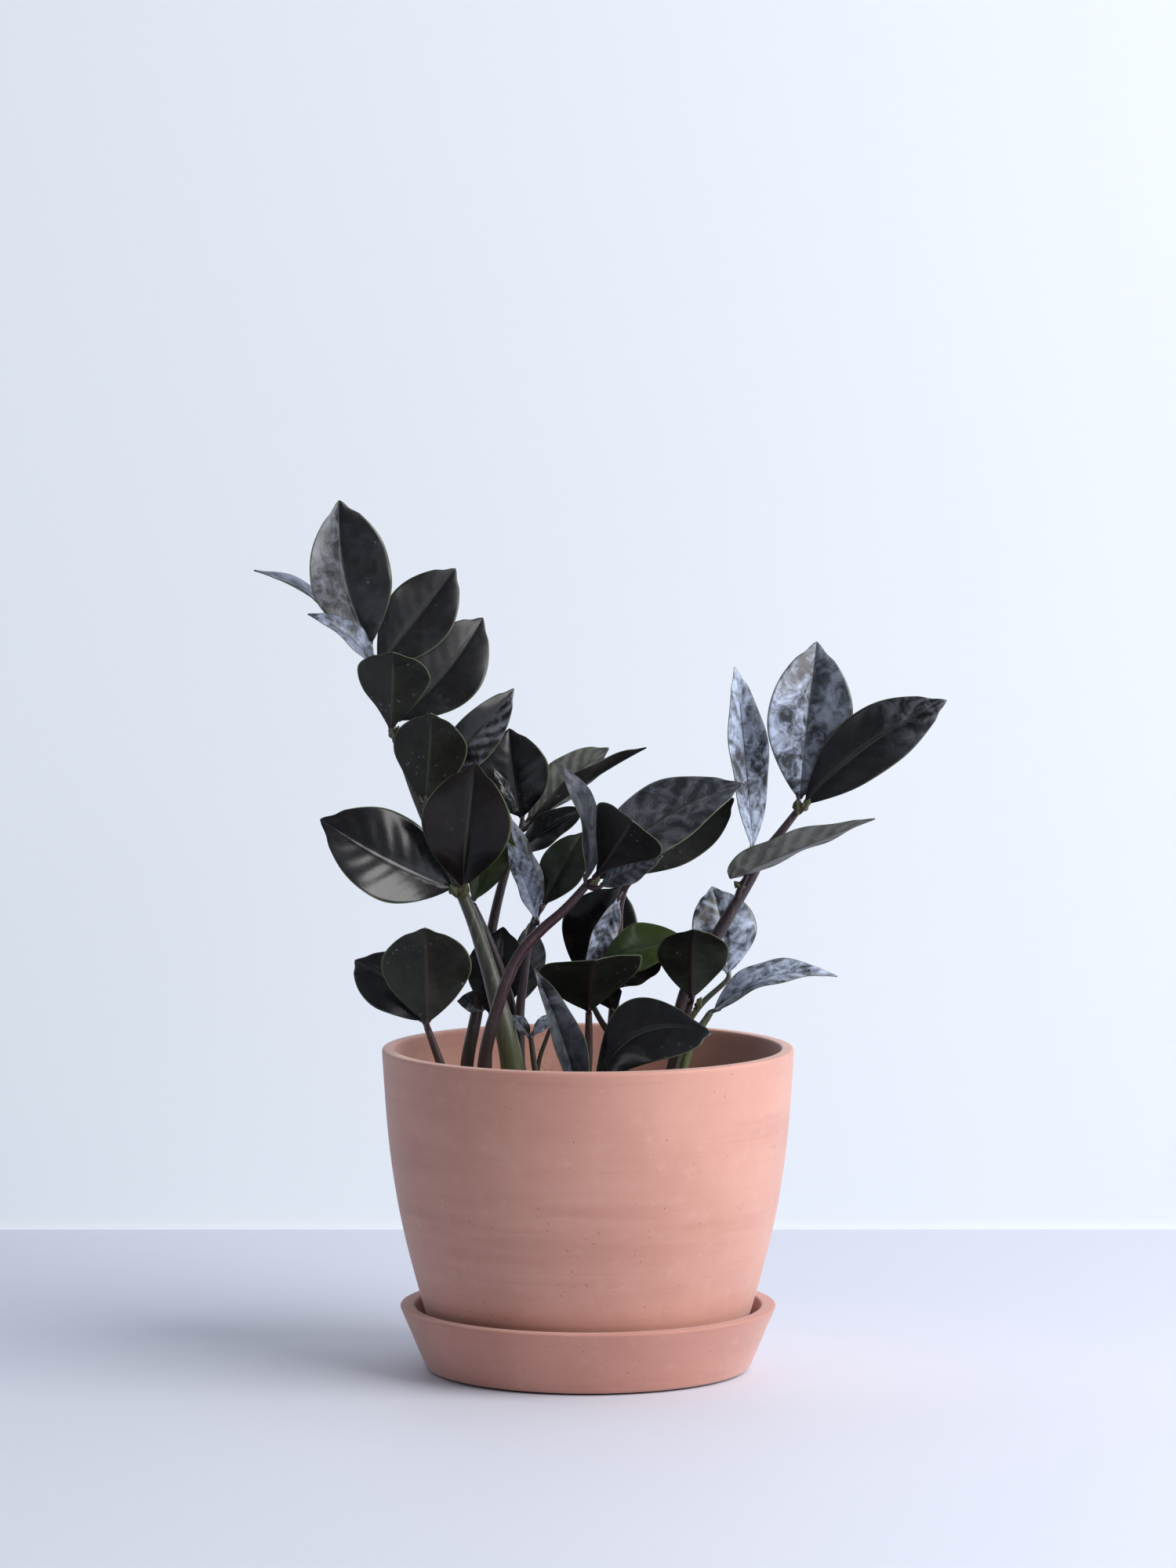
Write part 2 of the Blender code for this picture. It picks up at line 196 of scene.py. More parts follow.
# The room's own light is dim, and a pale haze is seen where neither sheet stands.
sky = bpy.data.worlds.new("room_light")
sky.use_nodes = True
fill = sky.node_tree.nodes["Background"]
fill.inputs["Color"].default_value = (0.93, 0.95, 1.0, 1.0)
fill.inputs["Strength"].default_value = 0.18
haze = place_node(sky.node_tree, "ShaderNodeBackground", None, Color=(0.76, 0.83, 0.92, 1.0),
                  Strength=1.0)
seen = place_node(sky.node_tree, "ShaderNodeLightPath").outputs["Is Camera Ray"]
both = place_node(sky.node_tree, "ShaderNodeMixShader", None, _0=seen, _1=fill.outputs[0],
                  _2=haze.outputs[0])
sky.node_tree.links.new(both.outputs[0], sky.node_tree.nodes["World Output"].inputs["Surface"])
bpy.context.scene.world = sky


# ---------- saucer
# One dish of pigmented clay-like composite, turned on a wheel: a flat foot, a flared side and a
# thick flat-topped rim. Fine lines run round it, and the skin is matt with small specks.
MM = 0.001
WHEEL_STEPS = 72
WHEEL_SMOOTHING = 2
CLAY_RELIEF = 0.0004
CLAY_BUMP = 0.35
# Half of the saucer's section, as (radius, height) in millimetres from the foot up and over.
SAUCER_PROFILE = [
    (0.0, 0.0), (57.0, 0.0), (62.2, 0.0), (63.3, 0.9), (63.9, 2.2), (66.4, 8.2), (69.6, 15.9),
    (72.7, 23.0), (73.2, 24.3), (72.6, 24.8), (70.4, 24.8), (67.9, 24.8), (67.2, 24.2),
    (66.4, 21.0), (64.0, 13.4), (61.6, 7.4), (60.8, 5.6), (58.9, 5.0), (40.0, 5.0), (0.0, 5.0),
]


def open_group(name, colours, values=()):
    """A node group with these inputs, which gives out Colour, Roughness and Height."""
    group = bpy.data.node_groups.new(name, "ShaderNodeTree")
    for label in colours:
        group.interface.new_socket(label, in_out="INPUT", socket_type="NodeSocketColor")
    for label in values:
        group.interface.new_socket(label, in_out="INPUT", socket_type="NodeSocketFloat")
    group.interface.new_socket("Colour", in_out="OUTPUT", socket_type="NodeSocketColor")
    for label in ("Roughness", "Height"):
        group.interface.new_socket(label, in_out="OUTPUT", socket_type="NodeSocketFloat")
    given = group.nodes.new("NodeGroupInput").outputs
    places = place_node(group, "ShaderNodeTexCoord").outputs
    return group, given, places


def close_group(group, colour, roughness, height):
    """Joins the three results to the group's outputs."""
    put = group.nodes.new("NodeGroupOutput")
    group.links.new(colour, put.inputs["Colour"])
    group.links.new(roughness, put.inputs["Roughness"])
    group.links.new(height, put.inputs["Height"])
    return group


def fired_clay_group():
    """Mottled matt clay with turning lines round it, fine grain, a pale bloom and dark specks."""
    group, given, places = open_group("fired_clay", ("Body", "Deep", "Pale"))
    spot = places["Object"]
    ringed = place_node(group, "ShaderNodeMapping", None, Vector=spot,
                        Scale=(5.0, 5.0, 620.0)).outputs[0]
    banded = place_node(group, "ShaderNodeMapping", None, Vector=spot,
                        Scale=(9.0, 9.0, 90.0)).outputs[0]
    wide = between(group, cloud(group, spot, 16.0, 5.0, 0.55, 0.4), 0.32, 0.70)
    bands = cloud(group, banded, 1.0, 4.0, 0.6)
    lines = cloud(group, ringed, 1.0, 3.0, 0.7)
    grain = cloud(group, spot, 520.0, 6.0, 0.75)
    fine = cloud(group, spot, 140.0, 5.0, 0.7)
    colour = blend_colour(group, maths(group, "MULTIPLY", wide, 0.40), given["Body"], given["Deep"])
    streak = maths(group, "MULTIPLY", between(group, bands, 0.45, 0.72), 0.45)
    colour = blend_colour(group, streak, colour, given["Deep"])
    bloom = maths(group, "MULTIPLY", between(group, fine, 0.50, 0.85), 0.35)
    colour = blend_colour(group, bloom, colour, given["Pale"])
    turned = maths(group, "MULTIPLY", between(group, lines, 0.56, 0.74), 0.22)
    colour = blend_colour(group, turned, colour, given["Deep"])
    pit = place_node(group, "ShaderNodeTexVoronoi", {"feature": "F1"}, Vector=spot, Scale=420.0)
    rare = between(group, cloud(group, spot, 90.0, 2.0), 0.56, 0.66)
    near = maths(group, "LESS_THAN", pit.outputs["Distance"], 0.16)
    specks = maths(group, "MULTIPLY", near, rare)
    colour = blend_colour(group, maths(group, "MULTIPLY", specks, 0.5), colour,
                          (0.16, 0.060, 0.042, 1.0))
    rough = maths(group, "MULTIPLY_ADD", grain, 0.22, 0.52)
    height = maths(group, "MULTIPLY_ADD", lines, 0.55, maths(group, "MULTIPLY", grain, 0.5))
    height = maths(group, "SUBTRACT", height, maths(group, "MULTIPLY", specks, 0.7))
    return close_group(group, colour, rough, height)


def from_group(paint, group, depth, strength, **values):
    """Feeds a material's Principled shader from a node group, its Height through a Bump."""
    tree = paint.node_tree
    shader = tree.nodes["Principled BSDF"]
    made = tree.nodes.new("ShaderNodeGroup")
    made.node_tree = group
    for key, value in values.items():
        made.inputs[key.replace("_", " ")].default_value = value
    bump = tree.nodes.new("ShaderNodeBump")
    bump.inputs["Strength"].default_value = strength
    bump.inputs["Distance"].default_value = depth
    tree.links.new(made.outputs["Height"], bump.inputs["Height"])
    tree.links.new(made.outputs["Colour"], shader.inputs["Base Color"])
    tree.links.new(made.outputs["Roughness"], shader.inputs["Roughness"])
    tree.links.new(bump.outputs["Normal"], shader.inputs["Normal"])
    return paint


def turn_on_wheel(name, profile, paint):
    """Spins an open profile of (radius, height) from axis to axis, or a closed ring of them."""
    form = bmesh.new()
    line = [form.verts.new((r * MM, 0.0, z * MM)) for r, z in profile]
    edges = [form.edges.new(pair) for pair in zip(line, line[1:])]
    if profile[0][0] > 0.0:
        edges.append(form.edges.new((line[-1], line[0])))
    bmesh.ops.spin(form, geom=line + edges, axis=(0.0, 0.0, 1.0), cent=(0.0, 0.0, 0.0),
                   angle=math.tau, steps=WHEEL_STEPS, use_merge=True)
    bmesh.ops.remove_doubles(form, verts=form.verts, dist=0.00001)
    bmesh.ops.recalc_face_normals(form, faces=form.faces)
    piece = make_piece(name, form, paint)
    smooth = piece.modifiers.new("smooth_wall", "SUBSURF")
    smooth.levels = WHEEL_SMOOTHING
    smooth.render_levels = WHEEL_SMOOTHING
    return piece


def clay_finish(name, body, deep, pale):
    paint, _, shader = finish_material(name)
    shader.inputs["Specular IOR Level"].default_value = 0.35
    shader.inputs["Sheen Weight"].default_value = 0.3
    return from_group(paint, fired_clay, CLAY_RELIEF, CLAY_BUMP, Body=(*body, 1.0),
                      Deep=(*deep, 1.0), Pale=(*pale, 1.0))


fired_clay = fired_clay_group()
saucer_clay = clay_finish("saucer_clay", body=(0.545, 0.265, 0.212), deep=(0.395, 0.165, 0.125),
                          pale=(0.66, 0.40, 0.33))
saucer = turn_on_wheel("turned_saucer", SAUCER_PROFILE, saucer_clay)
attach(saucer, "root")
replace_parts(saucer, "saucer")


# ---------- pot
# The round pot, of the same body as its saucer: an egg-shaped side that draws in to a rounded
# foot, a wall 5 mm thick with a flat lip, and one drain hole in its floor.
POT_FOOT = 5.3
POT_WALL = 5.2
# The outer side as (radius, height) above the pot's foot, in millimetres.
POT_SIDE = [
    (56.0, 0.8), (58.8, 4.2), (61.2, 10.2), (64.0, 18.7), (67.9, 32.7), (72.5, 50.7),
    (75.8, 69.7), (78.0, 87.7), (79.2, 106.2), (79.85, 116.4),
]
# The whole section: up the side, over the lip, down inside, across the floor, and through the hole.
pot_profile = [
    (54.0, 0.1), *POT_SIDE, (80.0, 118.4), (79.7, 119.4), (78.9, 119.7), (77.2, 119.7),
    (75.6, 119.7), (75.0, 119.2), (74.8, 118.0),
    *((r - POT_WALL, z) for r, z in reversed(POT_SIDE[2:-1])),
    (55.0, 7.4), (52.5, 6.1), (49.0, 6.0), (8.0, 6.0), (6.4, 5.8), (6.0, 5.0), (6.0, 1.0),
    (6.4, 0.2), (8.0, 0.0), (49.0, 0.0),
]
pot_clay = clay_finish("pot_clay", body=(0.600, 0.312, 0.250), deep=(0.445, 0.200, 0.155),
                       pale=(0.70, 0.44, 0.37))
pot = turn_on_wheel("turned_pot", [(r, z + POT_FOOT) for r, z in pot_profile], pot_clay)
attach(pot, "root")
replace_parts(pot, "pot")


# ---------- potting mix
# Damp dark peat that fills the pot to 25 mm below the lip, uneven on top, with loose bark
# chips, crumbs of coir and a few white grains of perlite lying on it.
SOIL_TOP = 100.0
SOIL_BASE = 90.0
SOIL_RADIUS = 72.9
SOIL_RINGS = 26
SOIL_SPOKES = 120
SCATTER_RADIUS = 70.0


def soil_height(x, y):
    """The height of the mix's surface at a place, in millimetres."""
    swell = noise.noise(Vector((x * 0.045, y * 0.045, 3.1))) * 1.8
    lumps = noise.noise(Vector((x * 0.21, y * 0.21, 8.4))) * 0.9
    return SOIL_TOP + 0.6 + swell + lumps


def potting_mix_group():
    """Crumbly stuff in two shades, coarse and fine together, in patches."""
    group, given, places = open_group("potting_mix", ("Dark", "Light"))
    spot = places["Object"]
    coarse = cloud(group, spot, 260.0, 6.0, 0.7)
    fine = cloud(group, spot, 900.0, 4.0, 0.7)
    patch = cloud(group, spot, 60.0, 2.0)
    mixed = maths(group, "MULTIPLY", between(group, coarse, 0.40, 0.68),
                  between(group, patch, 0.25, 0.75))
    colour = blend_colour(group, mixed, given["Dark"], given["Light"])
    rough = maths(group, "MULTIPLY_ADD", fine, 0.25, 0.70)
    height = maths(group, "MULTIPLY_ADD", coarse, 0.7, maths(group, "MULTIPLY", fine, 0.3))
    return close_group(group, colour, rough, height)


mix_group = potting_mix_group()


def crumbly_finish(name, relief, bump, dark, light):
    paint, _, _ = finish_material(name)
    return from_group(paint, mix_group, relief, bump, Dark=(*dark, 1.0), Light=(*light, 1.0))


peat = crumbly_finish("damp_peat", 0.0012, 0.8, (0.012, 0.008, 0.006), (0.060, 0.038, 0.025))
bark_chip = crumbly_finish("bark_chip", 0.0006, 0.6, (0.040, 0.020, 0.012), (0.15, 0.085, 0.048))
perlite = crumbly_finish("perlite", 0.0004, 0.5, (0.42, 0.40, 0.37), (0.70, 0.69, 0.66))

# The bed is spun as a flat disc of fine rings, and its top is then raised and dimpled.
ground = bmesh.new()
hub = ground.verts.new((0.0, 0.0, SOIL_BASE * MM))
rings = [(SOIL_RADIUS * i / SOIL_RINGS, SOIL_TOP) for i in range(SOIL_RINGS + 1)]
section = [*rings, (SOIL_RADIUS - 0.4, SOIL_BASE)]
side = [ground.verts.new((r * MM, 0.0, z * MM)) for r, z in section] + [hub]
spokes = [ground.edges.new(pair) for pair in zip(side, side[1:])]
bmesh.ops.spin(ground, geom=side + spokes, axis=(0.0, 0.0, 1.0), cent=(0.0, 0.0, 0.0),
               angle=math.tau, steps=SOIL_SPOKES, use_merge=True)
bmesh.ops.remove_doubles(ground, verts=ground.verts, dist=0.00002)
bmesh.ops.recalc_face_normals(ground, faces=ground.faces)
for point in ground.verts:
    if point.co.z > 0.5 * (SOIL_BASE + SOIL_TOP) * MM:
        point.co.z = soil_height(point.co.x / MM, point.co.y / MM) * MM
bed = make_piece("peat_bed", ground, peat)
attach(bed, "root")
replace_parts(bed, "soil")

# Loose pieces on the mix: name, how many, smallest and largest size, flatness and material.
scatter = random.Random(41)
for name, count, low, high, flat, paint in (
    ("bark_chips", 420, 1.4, 4.6, 0.45, bark_chip),
    ("peat_crumbs", 900, 0.7, 2.2, 0.8, peat),
    ("perlite_grains", 130, 0.8, 2.2, 0.85, perlite),
):
    loose = bmesh.new()
    for _ in range(count):
        reach = SCATTER_RADIUS * math.sqrt(scatter.random())
        turn = scatter.uniform(0.0, math.tau)
        x, y = reach * math.cos(turn), reach * math.sin(turn)
        size = scatter.uniform(low, high)
        spin = Matrix.Rotation(scatter.uniform(0.0, math.tau), 4, "Z")
        tilt = Matrix.Rotation(scatter.uniform(-0.5, 0.5), 4, "X")
        shape = Matrix.Diagonal((size, size * scatter.uniform(0.4, 0.8), size * flat * 0.5, 1.0))
        rest = Matrix.Translation((x, y, soil_height(x, y) + 0.12 * size))
        grain = bmesh.ops.create_icosphere(loose, subdivisions=1, radius=0.5,
                                           matrix=Matrix.Scale(MM, 4) @ rest @ spin @ tilt @ shape)
        for point in grain["verts"]:
            point.co += noise.noise_vector(point.co * 900.0) * (size * 0.09 * MM)
    crumbs = make_piece(name, loose, paint, smooth=False)
    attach(crumbs, "root")


# ---------- stems
# Fleshy upright stalks that grow straight from the mix, thick and green at the foot and thin
# and purple-brown above, with pale lengthwise streaks. Each leaflet sits on a short stalk.
# How far a blade starts from its joint, in millimetres, unless its own line says otherwise.
STEM_CLEAR = 2.0
STEM_RELIEF = 0.0004
STEM_BUMP = 0.5


def stem_skin_group():
    """One colour at the foot that turns to another higher up, with long streaks and pores."""
    group, given, places = open_group("stem_skin", ("Foot", "Upper", "Streak"))
    spot = places["Object"]
    level = place_node(group, "ShaderNodeSeparateXYZ", None, Vector=spot).outputs["Z"]
    drawn = place_node(group, "ShaderNodeMapping", None, Vector=spot,
                       Scale=(900.0, 900.0, 60.0)).outputs[0]
    streaks = cloud(group, drawn, 1.0, 4.0, 0.6)
    patches = cloud(group, spot, 85.0, 3.0)
    lifted = maths(group, "MULTIPLY_ADD", patches, 0.05, level)
    rise = between(group, lifted, 0.125, 0.175)
    colour = blend_colour(group, rise, given["Foot"], given["Upper"])
    pale = maths(group, "MULTIPLY", between(group, streaks, 0.54, 0.70), 0.55)
    colour = blend_colour(group, pale, colour, given["Streak"])
    dots = place_node(group, "ShaderNodeTexVoronoi", {"feature": "F1"}, Vector=spot,
                      Scale=520.0).outputs["Distance"]
    pores = maths(group, "LESS_THAN", dots, 0.15)
    colour = blend_colour(group, maths(group, "MULTIPLY", pores, 0.35), colour, given["Streak"])
    rough = maths(group, "MULTIPLY_ADD", patches, 0.25, 0.30)
    height = maths(group, "MULTIPLY_ADD", streaks, 0.8, maths(group, "MULTIPLY", pores, 0.2))
    return close_group(group, colour, rough, height)


def stem_finish(name, foot, upper, streak):
    paint, _, shader = finish_material(name, coat=0.08)
    shader.inputs["Coat Roughness"].default_value = 0.3
    return from_group(paint, stem_skin, STEM_RELIEF, STEM_BUMP, Foot=(*foot, 1.0),
                      Upper=(*upper, 1.0), Streak=(*streak, 1.0))


def tube(name, routes, paint):
    """A round tapering stalk through (x, y, z, radius) points, closed at both ends."""
    curve = bpy.data.curves.new(name, "CURVE")
    curve.dimensions = "3D"
    curve.bevel_depth = MM
    curve.bevel_resolution = 6
    curve.resolution_u = 10
    curve.use_fill_caps = True
    for points in routes:
        spline = curve.splines.new("BEZIER")
        spline.bezier_points.add(len(points) - 1)
        for knot, (x, y, z, radius) in zip(spline.bezier_points, points):
            knot.co = (x * MM, y * MM, z * MM)
            knot.handle_left_type = "AUTO"
            knot.handle_right_type = "AUTO"
            knot.radius = radius
    curve.materials.append(paint)
    piece = bpy.data.objects.new(name, curve)
    bpy.context.scene.collection.objects.link(piece)
    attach(piece, "root")
    return piece


def joint_route(routes, joint, along, clear):
    """A leaflet's own short stalk, from the middle of the nearest stem to its blade."""
    best = None
    for points in routes:
        for a, b in zip(points, points[1:]):
            start, end = Vector(a[:3]), Vector(b[:3])
            _, share = geometry.intersect_point_line(joint, start, end)
            share = min(1.0, max(0.0, share))
            spot = start.lerp(end, share)
            away = (spot - joint).length
            if best is None or away < best[0]:
                best = (away, spot, a[3] + (b[3] - a[3]) * share)
    _, spot, radius = best
    swell = min(1.5, 0.85 * radius + 0.25)
    reach = joint + along * (clear + 2.5)
    middle = joint + along * (0.35 * clear)
    return [(*spot, swell), (*middle, 1.0), (*reach, 0.55)]


stem_skin = stem_skin_group()
purple_stem = stem_finish("purple_stem", (0.050, 0.045, 0.030), (0.034, 0.020, 0.026),
                          (0.11, 0.085, 0.085))
green_stem = stem_finish("green_stem", (0.115, 0.150, 0.045), (0.058, 0.060, 0.048),
                         (0.22, 0.23, 0.17))
red_stem = stem_finish("red_stem", (0.045, 0.040, 0.026), (0.036, 0.015, 0.022),
                       (0.11, 0.065, 0.070))


# ---------- leaflets
# Thick, waxy, near-black blades with a pale hairline margin, a sunk midrib and shallow quilting
# between the side veins. They shine above and are matt olive below. The silvery sheen on them
# is painted into their colour: a painted reflection of the bright room.
BLADE_THICKNESS = 0.9
BLADE_GRID = (54, 26)
STALK_WIDTH = 2.4
SIDE_VEINS = 8.0
VEIN_SLANT = 1.7
EDGE_RIPPLES = 2.3
EDGE_WAVE = 0.7
RIB_WIDTH = 0.9
RIB_DEPTH = 0.45
LEAF_RELIEF = 0.0005
LEAF_BUMP = 0.35
LEAF_COAT_ROUGHNESS = 0.18
DUST_COLOUR = (0.24, 0.26, 0.25, 1.0)
OLIVE_MARGIN = (0.115, 0.130, 0.070, 1.0)


def leaf_skin_group():
    """A blade's skin along and across it: painted silvery sheen, side veins, dust, midrib and
    margin.
    """
    group, given, spot = open_group(
        "leaf_skin", ("Dark", "Tint", "Silver", "Margin", "Rib"),
        ("Silver Left", "Silver Right", "Silver Tip", "Vein Streaks", "Ridges", "Dust", "Rough"))
    flat = place_node(group, "ShaderNodeSeparateXYZ", None, Vector=spot["UV"]).outputs
    along, across = flat["X"], flat["Y"]
    out = maths(group, "MULTIPLY", maths(group, "ABSOLUTE", maths(group, "SUBTRACT", across, 0.5)),
                2.0)
    right = between(group, across, 0.492, 0.508)
    body = spot["Object"]
    slow = cloud(group, body, 42.0, 5.0, 0.6, 0.6)
    quick = cloud(group, body, 150.0, 7.0, 0.7, 0.9)
    fine = cloud(group, body, 900.0, 4.0, 0.7)
    swept = maths(group, "SUBTRACT", maths(group, "MULTIPLY", along, SIDE_VEINS),
                  maths(group, "MULTIPLY", out, 1.6))
    wave = maths(group, "SINE", maths(group, "MULTIPLY_ADD", slow, 5.0,
                                      maths(group, "MULTIPLY", swept, math.tau)))
    ridge = maths(group, "MULTIPLY_ADD", wave, 0.5, 0.5)
    colour = blend_colour(group, between(group, slow, 0.35, 0.65), given["Dark"], given["Tint"])
    # Painted sheen: silver mixed into the colour, set per half and towards the tip, stands in for
    # the bright room reflected in the glossy skin; the vein streaks only shape it.
    painted_sheen_amount = maths(group, "ADD", maths(group, "MULTIPLY", right, given["Silver Right"]),
                   maths(group, "MULTIPLY", maths(group, "SUBTRACT", 1.0, right),
                         given["Silver Left"]))
    painted_sheen_amount = maths(group, "MULTIPLY_ADD", between(group, along, 0.55, 1.0), given["Silver Tip"],
                   painted_sheen_amount)
    painted_sheen_streaks = maths(group, "MULTIPLY", maths(group, "SUBTRACT", ridge, 0.5), given["Vein Streaks"])
    painted_sheen_pattern = maths(group, "ADD", maths(group, "MULTIPLY_ADD", quick, 0.7,
                                       maths(group, "MULTIPLY", slow, 0.5)), painted_sheen_streaks)
    # bloom is the mask of this painted silvery reflection, not a waxy bloom on the leaf.
    bloom = maths(group, "MULTIPLY", between(group, painted_sheen_pattern, 0.48, 0.76), painted_sheen_amount, clamp=True)
    colour = blend_colour(group, bloom, colour, given["Silver"])
    dots = place_node(group, "ShaderNodeTexVoronoi", {"feature": "F1"}, Vector=body,
                      Scale=330.0).outputs["Distance"]
    few = between(group, cloud(group, body, 75.0, 3.0), 0.50, 0.66)
    dust = maths(group, "MULTIPLY", maths(group, "MULTIPLY", maths(group, "LESS_THAN", dots, 0.17),
                                          few), given["Dust"])
    haze = maths(group, "MULTIPLY", maths(group, "MULTIPLY", between(group, fine, 0.5, 0.8), few),
                 given["Dust"])
    settled = maths(group, "MULTIPLY_ADD", haze, 0.12, maths(group, "MULTIPLY", dust, 0.35),
                    clamp=True)
    colour = blend_colour(group, settled, colour, DUST_COLOUR)
    rib = maths(group, "MULTIPLY", between(group, out, 0.055, 0.015),
                between(group, along, 1.0, 0.75))
    colour = blend_colour(group, maths(group, "MULTIPLY", rib, 0.75), colour, given["Rib"])
    edge = between(group, out, 0.955, 0.99)
    colour = blend_colour(group, maths(group, "MULTIPLY", edge, 0.85), colour, given["Margin"])
    rough = maths(group, "MULTIPLY_ADD", quick, 0.16, given["Rough"])
    rough = maths(group, "MULTIPLY_ADD", bloom, 0.14, rough)
    height = maths(group, "MULTIPLY_ADD", ridge, given["Ridges"],
                   maths(group, "MULTIPLY", fine, 0.10))
    height = maths(group, "MULTIPLY_ADD", quick, 0.35, height)
    return close_group(group, colour, rough, height)


leaf_skin = leaf_skin_group()


def leaf_finish(name, dark, tint, silver=(0.30, 0.32, 0.38), left=0.0, right=0.0, tip=0.0,
                streaks=0.0, ridges=0.06, dust=0.3, rough=0.24, rib=(0.030, 0.034, 0.030),
                coat=0.15, gloss=0.35):
    """A leaf's material; left, right and tip say how much painted silvery reflection lies on each
    part.
    """
    paint, _, shader = finish_material(name, coat=coat)
    shader.inputs["Coat Roughness"].default_value = LEAF_COAT_ROUGHNESS
    shader.inputs["Specular IOR Level"].default_value = gloss
    return from_group(paint, leaf_skin, LEAF_RELIEF, LEAF_BUMP, Dark=(*dark, 1.0),
                      Tint=(*tint, 1.0), Silver=(*silver, 1.0), Margin=OLIVE_MARGIN,
                      Rib=(*rib, 1.0), Silver_Left=left, Silver_Right=right, Silver_Tip=tip,
                      Vein_Streaks=streaks, Ridges=ridges, Dust=dust, Rough=rough)


BLACK = ((0.0038, 0.0040, 0.0052), (0.0066, 0.0074, 0.0100))
SLATE = ((0.0130, 0.0150, 0.0200), (0.0240, 0.0270, 0.0360))
OLIVE = ((0.0070, 0.0076, 0.0055), (0.0120, 0.0128, 0.0090))
# Each finish is the same waxy skin with a different share of painted silvery reflection on its left
# half, right half or tip; the lighter ones (dusky, slate, silver, bright, pale) are painted lit
# copies of it.
UPPER = {
    "black": leaf_finish("leaf_black", *BLACK, left=0.015, right=0.015, rough=0.20, coat=0.15,
                         gloss=0.3),
    "ribbed_black": leaf_finish("leaf_ribbed_black", *BLACK, left=0.02, right=0.02, rough=0.19,
                                ridges=0.08, coat=0.22),
    "dusky": leaf_finish("leaf_dusky", *SLATE, left=0.15, right=0.15, tip=0.4, rough=0.5, coat=0.0,
                         gloss=0.12),
    "charcoal": leaf_finish("leaf_charcoal", *BLACK, left=0.03, right=0.03, rough=0.30),
    "silver_left": leaf_finish("leaf_silver_left", *BLACK, left=0.45, right=0.03, dust=0.8),
    "bright_left": leaf_finish("leaf_bright_left", *SLATE, silver=(0.458, 0.529, 0.696), left=1.0,
                               right=0.30),
    "silver_right": leaf_finish("leaf_silver_right", *BLACK, left=0.02, right=0.40, streaks=0.12),
    "silver_tip": leaf_finish("leaf_silver_tip", *BLACK, left=0.02, right=0.02, tip=0.6,
                              streaks=0.08),
    "silver": leaf_finish("leaf_silver", *SLATE, silver=(0.405, 0.470, 0.626), left=0.85,
                          right=0.85, streaks=0.05),
    "bright": leaf_finish("leaf_bright", *SLATE, silver=(0.528, 0.617, 0.800), left=1.0, right=0.9,
                          streaks=0.05),
    "slate": leaf_finish("leaf_slate", *SLATE, left=0.34, right=0.34, streaks=0.07, ridges=0.15,
                         rough=0.26),
    "pale": leaf_finish("leaf_pale", *SLATE, silver=(0.317, 0.372, 0.510), left=0.9, right=0.9,
                        rough=0.34),
    # Its reddish tint is a painted reddish-brown reflection, not the leaf's own colour.
    "red_black": leaf_finish("leaf_red_black", (0.0040, 0.0040, 0.0055), (0.0120, 0.0060, 0.0055),
                             left=0.01, right=0.01, rough=0.22, rib=(0.050, 0.055, 0.030),
                             coat=0.1, gloss=0.22),
    "bract": leaf_finish("bract_skin", (0.060, 0.072, 0.026), (0.125, 0.130, 0.055), rough=0.45,
                         coat=0.0, rib=(0.09, 0.07, 0.05)),
    "green": leaf_finish("leaf_green", (0.030, 0.048, 0.012), (0.060, 0.092, 0.022), left=0.05,
                         right=0.05),
    "deep_green": leaf_finish("leaf_deep_green", (0.007, 0.011, 0.005), (0.014, 0.021, 0.009),
                              left=0.04, right=0.04),
}
# The undersides carry a little of the same painted silvery reflection on each half; on the pale one
# it is strong.
UNDER = {
    "olive": leaf_finish("under_olive", *OLIVE, silver=(0.12, 0.13, 0.11), left=0.08, right=0.08,
                         rough=0.42, dust=1.0, coat=0.03, gloss=0.25, rib=(0.055, 0.058, 0.040)),
    "dark": leaf_finish("under_dark", (0.0060, 0.0060, 0.0060), (0.0100, 0.0100, 0.0100),
                        silver=(0.10, 0.10, 0.10), left=0.08, right=0.08, rough=0.42, dust=0.9,
                        coat=0.03, gloss=0.25, rib=(0.045, 0.030, 0.034)),
    "red_rib": leaf_finish("under_red_rib", (0.0065, 0.0082, 0.0060), (0.0120, 0.0145, 0.0095),
                           silver=(0.11, 0.12, 0.10), left=0.10, right=0.10, rough=0.42, dust=1.0,
                           coat=0.03, gloss=0.25, rib=(0.060, 0.030, 0.034)),
    "pale": leaf_finish("under_pale", (0.055, 0.060, 0.050), (0.095, 0.100, 0.085),
                        silver=(0.26, 0.27, 0.25), left=0.5, right=0.5, streaks=0.2, rough=0.44,
                        dust=0.4, coat=0.05),
    "bract_back": leaf_finish("bract_back", (0.055, 0.060, 0.026), (0.105, 0.100, 0.050),
                              rough=0.5, coat=0.0, dust=0.4),
    "green": leaf_finish("under_green", (0.030, 0.046, 0.013), (0.056, 0.080, 0.024), rough=0.40,
                         coat=0.05, dust=0.5),
}
leaf_margin = crumbly_finish("leaf_margin", 0.0001, 0.1, (0.075, 0.085, 0.045), (0.15, 0.17, 0.10))


def half_width(t, width, widest):
    """Half the blade's width at t from its base (0) to its drawn-out point (1)."""
    power = math.log(0.5) / math.log(widest)
    full = 0.5 * width * math.sin(math.pi * min(1.0, t) ** power) ** 0.78
    draw = max(0.0, (t - 0.90) / 0.10)
    full *= 1.0 - 0.9 * draw * (1.0 - draw)
    return max(full, 0.5 * STALK_WIDTH * max(0.0, 1.0 - 3.0 * t), 0.28 + 0.3 * (1.0 - t))


